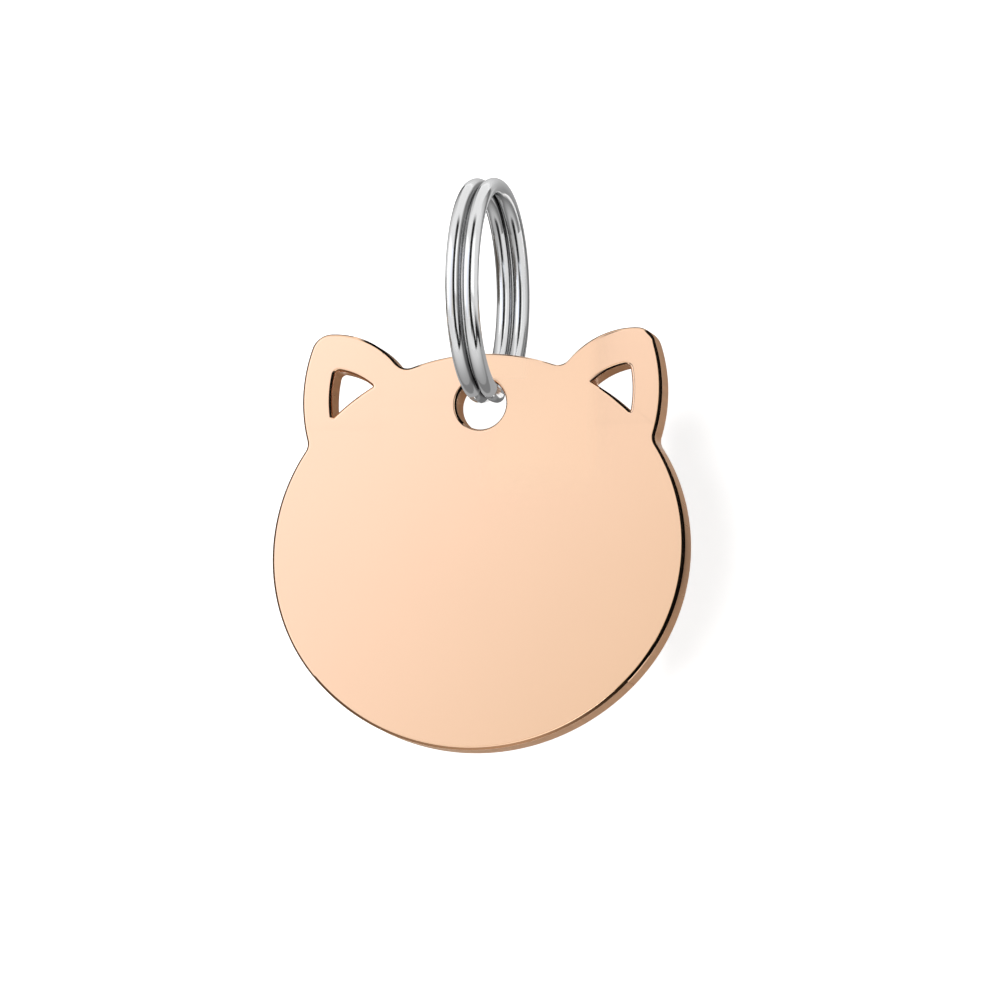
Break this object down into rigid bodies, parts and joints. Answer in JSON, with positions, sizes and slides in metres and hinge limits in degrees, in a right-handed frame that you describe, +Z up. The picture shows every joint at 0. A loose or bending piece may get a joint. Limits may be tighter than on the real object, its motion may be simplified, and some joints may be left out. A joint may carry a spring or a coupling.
{
  "type": "pet id tag",
  "caption": "Flat polished pet id tag in the outline of a cat's head with cut-out ears, hanging from a two-turn steel split ring for a collar.",
  "frame": {"origin": "inside of the split ring at its top, where the collar's ring carries it", "axes": "+Z up as the tag hangs, the tag's front face looks along -Y, +X runs across the tag to the right seen from its front"},
  "size_m": [0.0284, 0.015, 0.0385],
  "materials": {
    "ring_steel": "polished spring steel",
    "tag_metal": "mirror-polished rose gold plating on steel"
  },
  "bodies": {
    "split_ring": {"split_ring": "ring_steel"},
    "tag_plate": {"tag_plate": "tag_metal"}
  },
  "joints": [
    {"name": "tag_round_ring", "type": "hinge", "parent": "split_ring", "child": "tag_plate", "pos_m": [0, 0, -0.0064], "axis": [0.9997, 0.0262, 0], "continuous": true}
  ]
}
